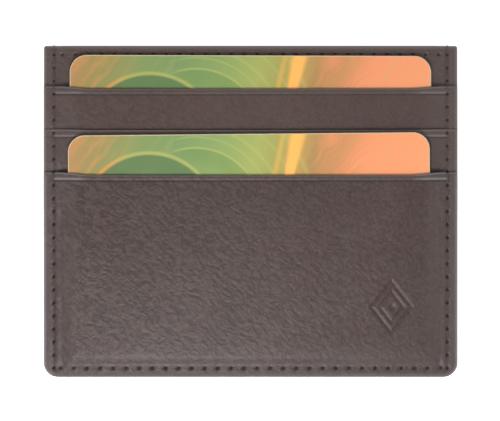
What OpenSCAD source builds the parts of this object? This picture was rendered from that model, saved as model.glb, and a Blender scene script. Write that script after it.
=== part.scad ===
// Slim leather card wallet lying on its back, with three card slots on each face
// and an open pocket between the two halves. Two cards sit in the front slots.
// X runs to the right, Y towards the slot mouths and Z out of the front face.

/* [Wallet] */
// Width across the painted side edges
wallet_w = 98; // [97:0.5:104]
// Height from the bottom edge to the top hem
wallet_h = 78.5; // [77.5:0.5:84]
// Radius of the two bottom corners
bottom_r = 3.3; // [2:0.1:4]
// Radius of the two top corners
top_r = 0.6; // [0.3:0.1:1]

/* [Slots] */
// Height of the lowest slot mouth, the top edge of the large pocket
mouth_3 = 48.5; // [46:0.5:50]
// Step from one slot mouth to the next
mouth_step = 10.2; // [9.5:0.1:11]
// Height of each leather strip that makes a slot's front wall
strip_h = 18.8; // [16.5:0.1:20]
// Height of the lower edge of the top facing
facing_foot = 60; // [59.5:0.5:62]
// Height of the lower hem of the first slot's lining bag
bag_1 = 18.5; // [17:0.5:19]
// Height of the lower hem of the second slot's lining bag
bag_2 = 8.5; // [7:0.5:9]

/* [Thicknesses] */
// Leather of the large pocket panels
panel_t = 0.7; // [0.5:0.05:0.8]
// Leather of the slot strips and top facings
strip_t = 0.55; // [0.4:0.05:0.6]
// Cloth of the slot linings
lining_t = 0.1; // [0.08:0.01:0.15]
// Cloth of the base linings
base_t = 0.15; // [0.1:0.01:0.2]

/* [Stitching] */
// Distance of the side seams from the side edges
side_inset = 2.4; // [2:0.1:2.6]
// Distance of the bottom seam and of the hem seams from their edges
end_inset = 2.1; // [1.9:0.1:2.2]
// Length of one stitch
stitch = 3.1; // [2.5:0.1:4]
// Thickness of the sewing thread
thread_t = 0.26; // [0.2:0.02:0.28]

/* [Cards] */
// Width of a card
card_w = 85.6; // [85.4:0.1:85.7]
// Height of a card
card_h = 53.98; // [53.9:0.01:54.1]
// Thickness of a card
card_t = 0.76; // [0.68:0.02:0.84]
// Corner radius of a card
card_r = 4; // [3:0.1:5]
// Height of the upper card's lower edge above the wallet's bottom edge
upper_card_foot = 22.2; // [22:0.1:23]
// Sideways place of the upper card
upper_card_x = -0.1; // [-0.3:0.1:0.3]
// Turn of the upper card within its slot, in degrees
upper_card_turn = -0.18; // [-0.2:0.02:0.2]
// Height of the lower card's lower edge above the wallet's bottom edge
lower_card_foot = 3.7; // [3.7:0.05:4.5]
// Sideways place of the lower card
lower_card_x = -0.2; // [-0.6:0.1:0.5]
// Turn of the lower card within its slot, in degrees
lower_card_turn = 0.54; // [-0.5:0.02:0.56]

/* [Hidden] */
$fn = 48;

mouth_2 = mouth_3 + mouth_step;
mouth_1 = mouth_2 + mouth_step;
strip_1_foot = mouth_1 - strip_h;
strip_2_foot = mouth_2 - strip_h;
film = 0.01;            // glue line between two layers
slack = 0.06;           // room on each face of a card
drape = 1.5;            // length over which a layer comes down past another's edge
lip = 1.3;              // how far a slot lining stops below its mouth
hem = 2.4;              // height of a lining bag's sewn hem
seam_room = 0.22;       // room for a bag seam between two linings
relief = 0.3;           // the sewn margins stand this far off the table
seam_x = wallet_w / 2 - side_inset;
lining_x = seam_x + 0.5;
centre_gap = 0.1;       // least room in the open pocket between the halves
edge_room = 0.02;       // room between the top edge and the thread that wraps it

// Where the leather rises from the sewn margin to lie over the cards
RISE_X = [[seam_x - 2.7, 1], [seam_x - 2, 0.85], [seam_x - 1.2, 0.15], [seam_x - 0.5, 0]];
RISE_Y = [[end_inset + 0.3, 0], [end_inset + 1.15, 1]];
// Where the back face stands off the table beside its seams
RELIEF_X = [[seam_x - 1.2, 0], [seam_x - 0.5, 1]];
RELIEF_Y = [
    [end_inset + 0.3, 1], [end_inset + 1.15, 0],
    [wallet_h - end_inset - 1.15, 0], [wallet_h - end_inset - 0.3, 1]
];

// Every layer from the table up: foot, top, thickness, and 1 if it reaches the side edges.
// The entries with no node of their own are the room for the bag seams.
LAYERS = [
    [0, mouth_3, panel_t, 1],                       // 0 back pocket panel
    [1.2, mouth_3 - lip, lining_t, 0],              // 1 back slot 3 lining
    [strip_2_foot, mouth_2, strip_t, 1],            // 2 back strip 2
    [bag_2, bag_2 + hem, seam_room, 0],             // 3 room for a bag seam
    [bag_2, mouth_2 - lip, lining_t, 0],            // 4 back slot 2 lining
    [strip_1_foot, mouth_1, strip_t, 1],            // 5 back strip 1
    [bag_1, bag_1 + hem, seam_room, 0],             // 6 room for a bag seam
    [bag_1, mouth_1 - lip, lining_t, 0],            // 7 back slot 1 lining
    [facing_foot, wallet_h, strip_t, 1],            // 8 back top facing
    [0, wallet_h, base_t, 1],                       // 9 back base lining
    [0, wallet_h, base_t, 1],                       // 10 front base lining
    [facing_foot, wallet_h, strip_t, 1],            // 11 front top facing
    [bag_1, mouth_1 - lip, lining_t, 0],            // 12 front slot 1 lining
    [bag_1, bag_1 + hem, seam_room, 0],             // 13 room for a bag seam
    [strip_1_foot, mouth_1, strip_t, 1],            // 14 front strip 1
    [bag_2, mouth_2 - lip, lining_t, 0],            // 15 front slot 2 lining
    [strip_2_foot, mouth_2, strip_t, 1],            // 16 front strip 2
    [1.2, mouth_3 - lip, lining_t, 0],              // 17 front slot 3 lining
    [0, mouth_3, panel_t, 1]                        // 18 front pocket panel
];
front_base = 10;
over_upper_card = 12;
over_lower_card = 17;
layer_count = len(LAYERS);

leather = [0.36, 0.32, 0.31];
leather_dark = [0.30, 0.26, 0.25];
cloth = [0.22, 0.20, 0.20];
thread_tone = [0.25, 0.20, 0.18];

function mix(a, b, share) = a + (b - a) * share;

// How much of a layer's thickness lies under a point at height y
function cover(layer, y) =
    let (past = max(layer[0] - y, y - layer[1], 0))
    max(0, 1 - past / drape);

// A lining stops short of the side edge
function reach(layer, x) = layer[3] == 1 ? 1 : lookup(abs(x), [[lining_x, 1], [wallet_w / 2, 0]]);

// Thickness of layers first to last - 1 at a point
function stack(first, last, x, y) =
    first >= last ? 0 :
    let (layer = LAYERS[first])
    (layer[2] + film) * cover(layer, y) * reach(layer, x) + stack(first + 1, last, x, y);

function rise(x, y) = lookup(abs(x), RISE_X) * lookup(y, RISE_Y);
function stand_off(x, y) = relief * max(lookup(abs(x), RELIEF_X), lookup(y, RELIEF_Y));

// The front half rests on the thickest place of the back half
middle = stack(0, front_base, 0, mouth_3 - lip) + centre_gap;
base_top = middle + base_t;

// Underside of the upper card, which leans on the top facing
upper_slope = (strip_t + film) / (facing_foot - upper_card_foot);
function upper_card_z(y) = base_top + slack + (y - upper_card_foot) * upper_slope;

// What the first slot's lining lies on, from its hem to its mouth
function over_upper(y) = lookup(y, [
    [bag_1 + hem, base_top + film],
    [upper_card_foot - 0.1, upper_card_z(upper_card_foot - 0.1) + card_t + slack],
    [wallet_h, upper_card_z(wallet_h) + card_t + slack]
]);

// Underside of the lower card, which leans on the step where strip 1 ends
lean_foot = upper_card_foot - 0.1;
lean_top = strip_1_foot;
lean_foot_z = over_upper(lean_foot) + stack(over_upper_card, over_lower_card, 0, lean_foot) + slack;
lean_top_z = over_upper(lean_top) + stack(over_upper_card, over_lower_card, 0, lean_top) + slack;
lower_slope = (lean_top_z - lean_foot_z) / (lean_top - lean_foot);
function lower_card_z(y) = lean_foot_z + (y - lean_foot) * lower_slope;

// Underside of layer k where it lies over the cards
function raised(k, y) =
    k == front_base ? middle :
    k < over_upper_card ? base_top + film :
    k < over_lower_card ? over_upper(y) + stack(over_upper_card, k, 0, y) :
    lower_card_z(y) + card_t + slack + stack(over_lower_card, k, 0, y);

// Underside of layer k at any point
function under(k, x, y) =
    let (pressed = stand_off(x, y) + stack(0, k, x, y))
    k < front_base ? pressed : mix(pressed, raised(k, y), rise(x, y));

// Half the wallet's width at height y, with the corners rounded
function corner_cut(r, past) = past <= 0 ? 0 : r - sqrt(max(0, r * r - past * past));
function half_w(y) =
    wallet_w / 2 - corner_cut(bottom_r, bottom_r - y) - corner_cut(top_r, y - wallet_h + top_r);

// Heights and places where some layer bends, in rising order
MARKS = concat(
    [for (layer = LAYERS) each [layer[0] - drape, layer[0], layer[1], layer[1] + drape]],
    [for (knots = [RISE_Y, RELIEF_Y]) for (knot = knots) knot[0]],
    [for (turn = [0.15, 0.35, 0.6, 1]) bottom_r * turn],
    [upper_card_foot - 0.1, wallet_h - top_r, wallet_h - top_r * 0.3]
);
function ordered(marks, after) =
    let (later = [for (mark = marks) if (mark > after + 0.004) mark])
    len(later) == 0 ? [] : concat([min(later)], ordered(marks, min(later)));
ROWS = [for (y = concat([0], ordered(MARKS, 0))) if (y <= wallet_h) y];
half_columns = ordered(concat([for (knot = RISE_X) knot[0]], [lining_x, wallet_w / 2]), 0);
COLUMNS = concat([for (i = [len(half_columns) - 1 : -1 : 0]) -half_columns[i]], half_columns);

// One layer, as a closed sheet of even thickness over the common rows and columns
module sheet(k, tone) {
    layer = LAYERS[k];
    rows = [for (y = ROWS) if (y > layer[0] - 0.002 && y < layer[1] + 0.002) y];
    columns = [for (x = COLUMNS) if (layer[3] == 1 || abs(x) < lining_x + 0.002) x];
    row_n = len(rows);
    col_n = len(columns);
    points = [
        for (side = [0, 1]) for (y = rows) for (x = columns)
        [x * half_w(y) * 2 / wallet_w, y - wallet_h / 2, under(k, x, y) + side * layer[2]]
    ];
    function at(side, r, c) = (side * row_n + r) * col_n + c;
    faces = concat(
        [for (r = [0 : row_n - 2]) for (c = [0 : col_n - 2]) each [
            [at(1, r, c), at(1, r + 1, c), at(1, r + 1, c + 1)],
            [at(1, r, c), at(1, r + 1, c + 1), at(1, r, c + 1)],
            [at(0, r, c), at(0, r + 1, c + 1), at(0, r + 1, c)],
            [at(0, r, c), at(0, r, c + 1), at(0, r + 1, c + 1)]
        ]],
        [for (r = [0 : row_n - 2]) each [
            [at(0, r, 0), at(0, r + 1, 0), at(1, r + 1, 0), at(1, r, 0)],
            [at(0, r, col_n - 1), at(1, r, col_n - 1), at(1, r + 1, col_n - 1), at(0, r + 1, col_n - 1)]
        ]],
        [for (c = [0 : col_n - 2]) each [
            [at(0, 0, c), at(1, 0, c), at(1, 0, c + 1), at(0, 0, c + 1)],
            [at(0, row_n - 1, c), at(0, row_n - 1, c + 1), at(1, row_n - 1, c + 1), at(1, row_n - 1, c)]
        ]]
    );
    color(tone) polyhedron(points = points, faces = faces);
}

// A lockstitch in the plane of its seam, as one outline: a taut bar for each stitch on
// both faces and a post through each needle hole. over and below give the two faces along
// the seam, and past_edge is where the last bars close round the wallet's edge, if they do.
module lockstitch(holes, thick, over, below, past_edge = undef) {
    dip = 0.05;
    ease = 0.5;
    half = thick / 2;
    wraps = !is_undef(past_edge);
    stops = wraps ? concat(holes, [past_edge]) : holes;
    stitches = [for (i = [0 : len(stops) - 2]) [stops[i], stops[i + 1]]];
    last = len(stitches) - 1;
    // Height of a taut bar's inner side, at a share of the way along its stitch
    function taut(face, ends, share) = mix(face(ends[0]), face(ends[1]), share);
    function outer(face, side, i) =
        let (ends = stitches[i], share = ease / (ends[1] - ends[0]))
        let (closes = wraps && i == last)
        [
            [ends[0] - (i == 0 ? half : 0), face(ends[0]) + side * dip],
            [ends[0] + ease, taut(face, ends, share) + side * thick],
            closes ? [past_edge + thick, face(past_edge) + side * thick]
                : [ends[1] - ease, taut(face, ends, 1 - share) + side * thick]
        ];
    function backwards(list) = [for (i = [len(list) - 1 : -1 : 0]) list[i]];
    tip = stops[len(stops) - 1];
    outline = concat(
        [for (i = [0 : last]) each outer(over, 1, i)],
        wraps ? [] : [[tip + half, over(tip) + dip], [tip + half, below(tip) - dip]],
        backwards([for (i = [0 : last]) each outer(below, -1, i)])
    );
    windows = [
        for (i = [0 : last])
        let (a = stitches[i][0] + half, b = stitches[i][1] - (wraps && i == last ? 0 : half))
        each [[a, below(a)], [a, over(a)], [b, over(b)], [b, below(b)]]
    ];
    around = len(outline);
    polygon(
        points = concat(outline, windows),
        paths = concat(
            [[for (i = [0 : around - 1]) i]],
            [for (w = [0 : last]) [for (i = [0 : 3]) around + 4 * w + i]]
        )
    );
}

// Evenly spaced needle holes from one place to another
function holes_between(from, to) =
    let (count = round((to - from) / stitch))
    [for (i = [0 : count]) from + (to - from) * i / count];

// A side seam through all the layers, which wraps over the top edge
module side_thread(x) {
    color(thread_tone)
    translate([x - thread_t / 2, -wallet_h / 2, 0])
    rotate([90, 0, 90])
    linear_extrude(thread_t)
    lockstitch(holes_between(end_inset, wallet_h - end_inset), thread_t,
        function(y) under(layer_count, x, y),
        function(y) relief,
        wallet_h + edge_room);
}

// A seam along X at height y, from -reach_x to reach_x
module cross_thread(y, reach_x, thick, over, below) {
    color(thread_tone)
    translate([0, y - wallet_h / 2 + thick / 2, 0])
    rotate([90, 0, 0])
    linear_extrude(thick)
    lockstitch(holes_between(-reach_x, reach_x), thick, over, below);
}

// A seam along X through layers lower to upper only
module layer_thread(lower, upper, y, reach_x, thick) {
    cross_thread(y, reach_x, thick,
        function(x) under(upper, x, y) + LAYERS[upper][2],
        function(x) under(lower, x, y));
}

module hem_thread(lower, upper) {
    layer_thread(lower, upper, wallet_h - end_inset, seam_x - 2, thread_t);
}

module bag_thread(lower, upper, foot) {
    layer_thread(lower, upper, foot + hem / 2, seam_x - 3, seam_room - 0.04);
}

module bottom_thread() {
    y = end_inset;
    cross_thread(y, seam_x - stitch / 2, thread_t,
        function(x) under(layer_count, x, y),
        function(x) relief);
}

module rounded_card() {
    square([card_w - 2 * card_r, card_h], center = true);
    square([card_w, card_h - 2 * card_r], center = true);
    for (x = [-1, 1])
        for (y = [-1, 1])
            translate([x * (card_w / 2 - card_r), y * (card_h / 2 - card_r)])
            circle(card_r);
}

// A card lying on its sloping floor, turned a little within its slot
module card(x, foot, foot_z, slope, turn, tone) {
    lean = atan(slope);
    color(tone)
    translate([x, foot - wallet_h / 2, foot_z])
    rotate([lean, 0, 0])
    translate([0, card_h / 2, 0])
    rotate([0, 0, turn])
    linear_extrude(card_t)
    rounded_card();
}

module upper_card() {
    card(upper_card_x, upper_card_foot, upper_card_z(upper_card_foot), upper_slope,
        upper_card_turn, [0.80, 0.62, 0.32]);
}

module lower_card() {
    card(lower_card_x, lower_card_foot, lower_card_z(lower_card_foot), lower_slope,
        lower_card_turn, [0.55, 0.68, 0.30]);
}

sheet(0, leather);  // back_pocket_panel
sheet(1, cloth);  // back_slot_3_lining
sheet(2, leather_dark);  // back_strip_2
sheet(4, cloth);  // back_slot_2_lining
sheet(5, leather_dark);  // back_strip_1
sheet(7, cloth);  // back_slot_1_lining
sheet(8, leather);  // back_top_facing
sheet(9, cloth);  // back_base_lining
sheet(10, cloth);  // front_base_lining
sheet(11, leather);  // front_top_facing
sheet(12, cloth);  // front_slot_1_lining
sheet(14, leather_dark);  // front_strip_1
sheet(15, cloth);  // front_slot_2_lining
sheet(16, leather_dark);  // front_strip_2
sheet(17, cloth);  // front_slot_3_lining
sheet(18, leather);  // front_pocket_panel
side_thread(-seam_x);  // left_side_thread
side_thread(seam_x);  // right_side_thread
bottom_thread();
hem_thread(10, 11);  // front_hem_thread
hem_thread(8, 9);  // back_hem_thread
bag_thread(10, 12, bag_1);  // front_bag_1_thread
bag_thread(10, 15, bag_2);  // front_bag_2_thread
bag_thread(7, 9, bag_1);  // back_bag_1_thread
bag_thread(4, 9, bag_2);  // back_bag_2_thread
upper_card();
lower_card();
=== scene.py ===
"""Slim leather card wallet: the visible pieces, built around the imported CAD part.

The sheets of leather and cloth take their heights from the CAD sheets, and get rounded edges,
creases, seam grooves, needle holes and wrinkles. Lengths are in millimetres up to the moment
a mesh is made, which is in metres.
"""

import math

import bpy
import numpy as np
from mathutils import Matrix, Vector


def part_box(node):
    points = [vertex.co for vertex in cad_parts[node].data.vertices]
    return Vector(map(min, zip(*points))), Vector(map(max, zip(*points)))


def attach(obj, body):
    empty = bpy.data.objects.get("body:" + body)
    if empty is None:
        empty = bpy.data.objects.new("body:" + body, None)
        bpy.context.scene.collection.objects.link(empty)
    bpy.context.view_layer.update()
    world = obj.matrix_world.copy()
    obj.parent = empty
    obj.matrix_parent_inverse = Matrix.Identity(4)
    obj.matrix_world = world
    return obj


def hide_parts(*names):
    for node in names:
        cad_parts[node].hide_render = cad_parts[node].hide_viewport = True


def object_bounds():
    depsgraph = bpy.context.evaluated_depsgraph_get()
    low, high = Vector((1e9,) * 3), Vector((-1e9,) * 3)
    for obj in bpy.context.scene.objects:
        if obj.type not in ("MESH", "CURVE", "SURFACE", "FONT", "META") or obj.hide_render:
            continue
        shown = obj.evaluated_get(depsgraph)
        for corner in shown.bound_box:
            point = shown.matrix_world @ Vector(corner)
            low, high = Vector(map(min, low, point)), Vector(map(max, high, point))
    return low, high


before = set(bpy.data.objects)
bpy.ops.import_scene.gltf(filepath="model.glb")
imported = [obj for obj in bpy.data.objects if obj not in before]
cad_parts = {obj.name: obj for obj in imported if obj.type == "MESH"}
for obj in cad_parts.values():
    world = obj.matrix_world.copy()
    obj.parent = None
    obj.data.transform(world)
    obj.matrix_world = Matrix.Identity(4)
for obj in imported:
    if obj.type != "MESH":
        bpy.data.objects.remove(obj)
CAD_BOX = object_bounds()

MM = 0.001


def box_mm(node):
    """Lowest and highest corner of a CAD node, in millimetres."""
    low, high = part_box(node)
    return np.array(low) / MM, np.array(high) / MM


def points_mm(node):
    """The vertices of a CAD node, in millimetres."""
    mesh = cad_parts[node].data
    flat = np.empty(len(mesh.vertices) * 3, np.float32)
    mesh.vertices.foreach_get("co", flat)
    return flat.reshape(-1, 3).astype(float) / MM


# ---------------- sizes from the frame

WALLET_LOW, WALLET_HIGH = box_mm("front_base_lining")
HALF_W = WALLET_HIGH[0]
BOTTOM, TOP = WALLET_LOW[1], WALLET_HIGH[1]
HEIGHT = TOP - BOTTOM
THREAD_LOW, THREAD_HIGH = box_mm("right_side_thread")
THREAD_T = THREAD_HIGH[0] - THREAD_LOW[0]
SEAM_X = (THREAD_LOW[0] + THREAD_HIGH[0]) / 2
END_INSET = THREAD_LOW[1] + THREAD_T / 2 - BOTTOM
BOTTOM_SEAM_Y = BOTTOM + END_INSET
HEM_Y = TOP - END_INSET
STITCH = 3.1
FILM = 0.004            # least room between two layers

# One half's sheets from its outer face inwards: node, piece, material slot
LAYERS = [
    ("pocket_panel", "pocket_leather", "leather"),
    ("slot_3_lining", "slot_3_cloth", "lining"),
    ("strip_2", "strip_2_leather", "strip_leather"),
    ("slot_2_lining", "slot_2_cloth", "lining"),
    ("strip_1", "strip_1_leather", "strip_leather"),
    ("slot_1_lining", "slot_1_cloth", "lining"),
    ("top_facing", "top_leather", "leather"),
    ("base_lining", "base_cloth", "lining"),
]
# All sheets from the table up: node, piece, material slot, kind
SHEETS = [
    (f"{half}_{node}", f"{half}_{piece}", slot, "cloth" if slot == "lining" else half)
    for half, layers in (("back", LAYERS), ("front", LAYERS[::-1]))
    for node, piece, slot in layers
]
OVER_CARD = {"upper_card": "front_slot_1_lining", "lower_card": "front_slot_3_lining"}

# The common grid on which all heights are worked out
GRID_STEP = 0.2
GRID_X = np.linspace(-HALF_W, HALF_W, int(round(2 * HALF_W / GRID_STEP)) + 1)
GRID_Y = np.linspace(BOTTOM, TOP, int(round(HEIGHT / GRID_STEP)) + 1)
MESH_X, MESH_Y = np.meshgrid(GRID_X, GRID_Y)


def holes_between(start, stop):
    """Evenly spaced needle holes, a stitch apart."""
    return np.linspace(start, stop, int(round((stop - start) / STITCH)) + 1)


def holes_along_x(node):
    low, high = box_mm(node)
    half = THREAD_T / 2
    return holes_between(low[0] + half, high[0] - half)


SIDE_HOLES = holes_between(BOTTOM_SEAM_Y, TOP - END_INSET)
BOTTOM_HOLES = holes_along_x("bottom_thread")
HEM_HOLES = holes_along_x("front_hem_thread")


# ---------------- small maths

def smoothstep(low, high, value):
    share = np.clip((value - low) / (high - low), 0, 1)
    return share * share * (3 - 2 * share)


def bell(distance, width):
    return np.exp(-((distance / width) ** 2))


def blurred(field, along_y, along_x=None):
    """The field on the common grid after a Gaussian blur of so many millimetres each way."""
    for axis, sigma in ((0, along_y), (1, along_x or along_y)):
        reach = int(math.ceil(3 * sigma / GRID_STEP))
        offsets = np.arange(-reach, reach + 1) * GRID_STEP
        kernel = np.exp(-0.5 * (offsets / sigma) ** 2)
        kernel /= kernel.sum()
        margins = [(0, 0), (0, 0)]
        margins[axis] = (reach, reach)
        wide = np.pad(field, margins, mode="reflect", reflect_type="odd")
        field = np.zeros_like(field)
        for i, weight in enumerate(kernel):
            part = wide[i:i + field.shape[0]] if axis == 0 else wide[:, i:i + field.shape[1]]
            field = field + weight * part
    return field


def sampled(field, x, y):
    """The field at any points, between the values of the common grid."""
    i = np.clip((x + HALF_W) / (2 * HALF_W) * (len(GRID_X) - 1), 0, len(GRID_X) - 1.001)
    j = np.clip((y - BOTTOM) / HEIGHT * (len(GRID_Y) - 1), 0, len(GRID_Y) - 1.001)
    i0, j0 = i.astype(int), j.astype(int)
    fx, fy = i - i0, j - j0
    lower = field[j0, i0] * (1 - fx) + field[j0, i0 + 1] * fx
    upper = field[j0 + 1, i0] * (1 - fx) + field[j0 + 1, i0 + 1] * fx
    return lower * (1 - fy) + upper * fy


INNER_EVERY = 4         # the hidden face of a sheet has every fourth line of its visible face


def graded(low, high, coarse, zones):
    """Lines from low to high, coarse apart, and closer in zones of (centre, reach, spacing)."""
    fine = np.linspace(low, high, 8001)
    spacing = np.full_like(fine, coarse)
    for centre, reach, close in zones:
        away = np.clip(np.abs(fine - centre) - reach, 0, None)
        spacing = np.minimum(spacing, close + 0.45 * away)
    steps = np.diff(fine) * 0.5 * (1 / spacing[1:] + 1 / spacing[:-1])
    total = np.concatenate([[0], np.cumsum(steps)])
    count = int(math.ceil(total[-1] / INNER_EVERY)) * INNER_EVERY
    return np.interp(np.linspace(0, total[-1], count + 1), total, fine)


# ---------------- outline of the wallet

def cad_rows(node):
    """A CAD sheet's rows, half widths, columns as shares of the half width, and both heights."""
    points = points_mm(node)
    rows = np.unique(np.round(points[:, 1], 3))
    halves, lows, highs, shares = [], [], [], None
    for row in rows:
        here = points[np.abs(points[:, 1] - row) < 0.0015]
        half = np.abs(here[:, 0]).max()
        at = np.round(here[:, 0] / half, 3)
        columns = np.unique(at)
        shares = columns if shares is None else shares
        halves.append(half)
        lows.append([here[at == c, 2].min() for c in columns])
        highs.append([here[at == c, 2].max() for c in columns])
    return rows, np.array(halves), shares, np.array(lows), np.array(highs)


OUTLINE_HALVES = cad_rows("front_base_lining")[1]
BOTTOM_R = HALF_W - OUTLINE_HALVES[0]
TOP_R = HALF_W - OUTLINE_HALVES[-1]


def half_width(y):
    """Half the wallet's width at height y, with its corners rounded."""
    half = HALF_W
    for radius, inwards in ((BOTTOM_R, y - BOTTOM), (TOP_R, TOP - y)):
        past = np.clip(radius - inwards, 0, radius)
        half = half - (radius - np.sqrt(radius ** 2 - past ** 2))
    return half


def from_edge(x, y):
    """Distance of a point from the wallet's outline, inwards."""
    corner_r = np.where(y < 0, BOTTOM_R, TOP_R)
    past_x = np.abs(x) - HALF_W + corner_r
    past_y = np.abs(y - (TOP + BOTTOM) / 2) - HEIGHT / 2 + corner_r
    outside = np.hypot(np.clip(past_x, 0, None), np.clip(past_y, 0, None))
    inside = np.minimum(np.maximum(past_x, past_y), 0)
    return np.clip(corner_r - outside - inside, 0, None)


# ---------------- cards, as the CAD places them

def card_pose(node):
    """A card's centre, axes, width, height, thickness and corner radius, from its CAD mesh."""
    points = points_mm(node)
    unique = np.unique(np.round(points, 4), axis=0)
    centre = (unique.max(0) + unique.min(0)) / 2
    main = np.linalg.eigh(np.cov((unique - unique.mean(0)).T))[1]
    across = main[:, 2] * np.sign(main[0, 2])
    along = main[:, 1] * np.sign(main[1, 1])
    axes = np.array([across, along, np.cross(across, along)])
    local = (unique - centre) @ axes.T
    low, high = local.min(0), local.max(0)
    middle = centre + axes.T @ ((low + high) / 2)
    size = high - low
    at_side = np.abs(local[:, 0] - high[0]) < 0.01
    radius = size[1] / 2 - np.abs(local[at_side, 1] - (low[1] + high[1]) / 2).max()
    return {"centre": middle, "axes": axes, "size": size, "radius": radius}


CARDS = {name: card_pose(name) for name in ("upper_card", "lower_card")}


def card_plane(name, side, y):
    """Height of a card's upper (side 1) or lower (side -1) face over the row at height y."""
    pose = CARDS[name]
    normal = pose["axes"][2]
    point = pose["centre"] + normal * side * pose["size"][2] / 2
    return point[2] - (y - point[1]) * normal[1] / normal[2]


def card_room(name):
    """Where the common grid is under or over the card, at rest or as it slides out."""
    low, high = box_mm(name)
    return (MESH_X > low[0] - 0.3) & (MESH_X < high[0] + 0.3) & (MESH_Y > low[1] - 0.2)


# ---------------- heights of every sheet

CARRIED_ON = 3.0        # how far a sheet's heights are carried on past its foot and mouth


def cad_heights(node):
    """Both faces of a CAD sheet on the common grid, carried on past its edges."""
    rows, halves, shares, *sides = cad_rows(node)
    reach = np.max(halves)
    all_rows = [rows[0] - CARRIED_ON, *rows, rows[-1] + CARRIED_ON]
    faces = []
    for values in sides:
        first, last = [
            np.array([np.interp(y, rows, column) for column in values.T])
            for y in (rows[0] + 1, rows[-1] - 1)
        ]
        values = np.vstack([
            values[0] + (values[0] - first) * CARRIED_ON, values,
            values[-1] + (values[-1] - last) * CARRIED_ON,
        ])
        wide = np.array([np.interp(GRID_X / reach, shares, line) for line in values])
        faces.append(np.array([np.interp(GRID_Y, all_rows, column) for column in wide.T]).T)
    return {"foot": rows[0], "mouth": rows[-1], "reach": reach, "low": faces[0], "high": faces[1]}


def settle_sheets():
    """Heights of the sheets from the table up, softened, clear of each other and the cards."""
    settled = {}
    order = [row[0] for row in SHEETS]
    ceiling = np.full_like(MESH_X, -1.0)
    for node, _, _, kind in SHEETS:
        for card, over in OVER_CARD.items():
            if node == over:
                room = card_room(card)
                top = card_plane(card, 1, MESH_Y) + 0.03
                ceiling = np.where(room, np.maximum(ceiling, top), ceiling)
        sheet = cad_heights(node)
        thick = float(np.median(sheet["high"] - sheet["low"]))
        low = np.maximum(blurred(sheet["low"], 0.4), ceiling + FILM)
        if kind == "back":
            low = np.maximum(low, 0.0)
        soft = (0.9, 1.5) if kind == "front" else (0.4, 0.4)
        high = np.maximum(blurred(sheet["high"], *soft), low + 0.55 * thick)
        for card, over in OVER_CARD.items():
            if node.startswith("front") and order.index(node) < order.index(over):
                under_card = card_plane(card, -1, MESH_Y) - 0.02
                high = np.where(card_room(card), np.minimum(high, under_card), high)
        low = np.minimum(low, high - 0.4 * thick)
        covered = (
            (MESH_Y >= sheet["foot"]) & (MESH_Y <= sheet["mouth"])
            & (np.abs(MESH_X) <= sheet["reach"])
        )
        ceiling = np.where(covered, np.maximum(ceiling, high), ceiling)
        settled[node] = dict(sheet, low=low, high=high, thick=thick)
    lift = margin_lift(settled)
    for sheet in settled.values():
        sheet["low"] = sheet["low"] + lift
        sheet["high"] = sheet["high"] + lift
    return settled


def margin_lift(settled):
    """How far the seams float above the table: half of what the cards raise the middle by."""
    top = np.zeros_like(MESH_X)
    for node, _, _, kind in SHEETS:
        if kind == "front":
            sheet = settled[node]
            covered = (MESH_Y >= sheet["foot"]) & (MESH_Y <= sheet["mouth"])
            top = np.where(covered, np.maximum(top, sheet["high"]), top)
    level = top.max(axis=1)
    foot = CARDS["lower_card"]["centre"][1] - CARDS["lower_card"]["size"][1] / 2
    level[GRID_Y < foot + 3] = level[GRID_Y >= foot + 3][0]
    edge = max(np.abs(box_mm(name)[i][0]) for name in CARDS for i in (0, 1))
    beside = smoothstep(edge + 0.35, SEAM_X - 0.6, np.abs(MESH_X))
    below = smoothstep(foot - 0.4, BOTTOM_SEAM_Y + 0.2, MESH_Y)
    missing = np.clip(blurred(level[:, None] - top, 0.3, 0.6), 0, None)
    return 0.5 * missing * np.maximum(beside, below)


# ---------------- leather relief

def wrinkle_field(seed, angle, across, along):
    """Seeded noise on the common grid in ridges that run at an angle, with a deviation of 1."""
    noise = np.random.default_rng(seed).standard_normal(MESH_X.shape)
    fy = np.fft.fftfreq(len(GRID_Y), GRID_STEP)[:, None]
    fx = np.fft.fftfreq(len(GRID_X), GRID_STEP)[None, :]
    turn = math.radians(angle)
    f_along = fx * math.cos(turn) + fy * math.sin(turn)
    f_across = -fx * math.sin(turn) + fy * math.cos(turn)
    band = np.exp(-0.5 * ((np.abs(f_across) * across - 1) / 0.45) ** 2)
    spectrum = band * np.exp(-0.5 * (f_along * along) ** 2)
    field = np.fft.ifft2(np.fft.fft2(noise) * spectrum).real
    return field / field.std()


def leather_relief():
    """Depth of the wrinkles of a whole face of the wallet: 0 on ridges, more in creases."""
    steep = wrinkle_field(11, -52, 1.7, 5.0)
    shallow = wrinkle_field(12, -28, 1.9, 5.5)
    level = wrinkle_field(13, 8, 2.2, 4.0)
    where = blurred(wrinkle_field(14, 0, 26, 14), 1.0)
    lower_left = smoothstep(60, -45, MESH_X + 0.6 * MESH_Y)
    mix_a = smoothstep(-0.8, 0.8, where)
    diagonal = steep * mix_a + shallow * (1 - mix_a)
    field = diagonal * (0.35 + 0.65 * lower_left) + level * 0.35 * (1 - lower_left)
    creases = np.exp(-((field / 0.55) ** 2))
    depth = 0.010 * creases * (0.4 + lower_left) + 0.007 * np.clip(-field, 0, 2)
    broad = wrinkle_field(15, -30, 4.2, 7.0)
    patch = bell(np.hypot((MESH_X - 17) / 1.5, MESH_Y + 12), 9.0)
    depth += 0.035 * np.exp(-((broad / 0.3) ** 2)) * patch
    return depth


EMBOSS_CENTRE = (HALF_W - 15.6, BOTTOM + 16.6)
EMBOSS_HALF = (5.0, 6.4)


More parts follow.
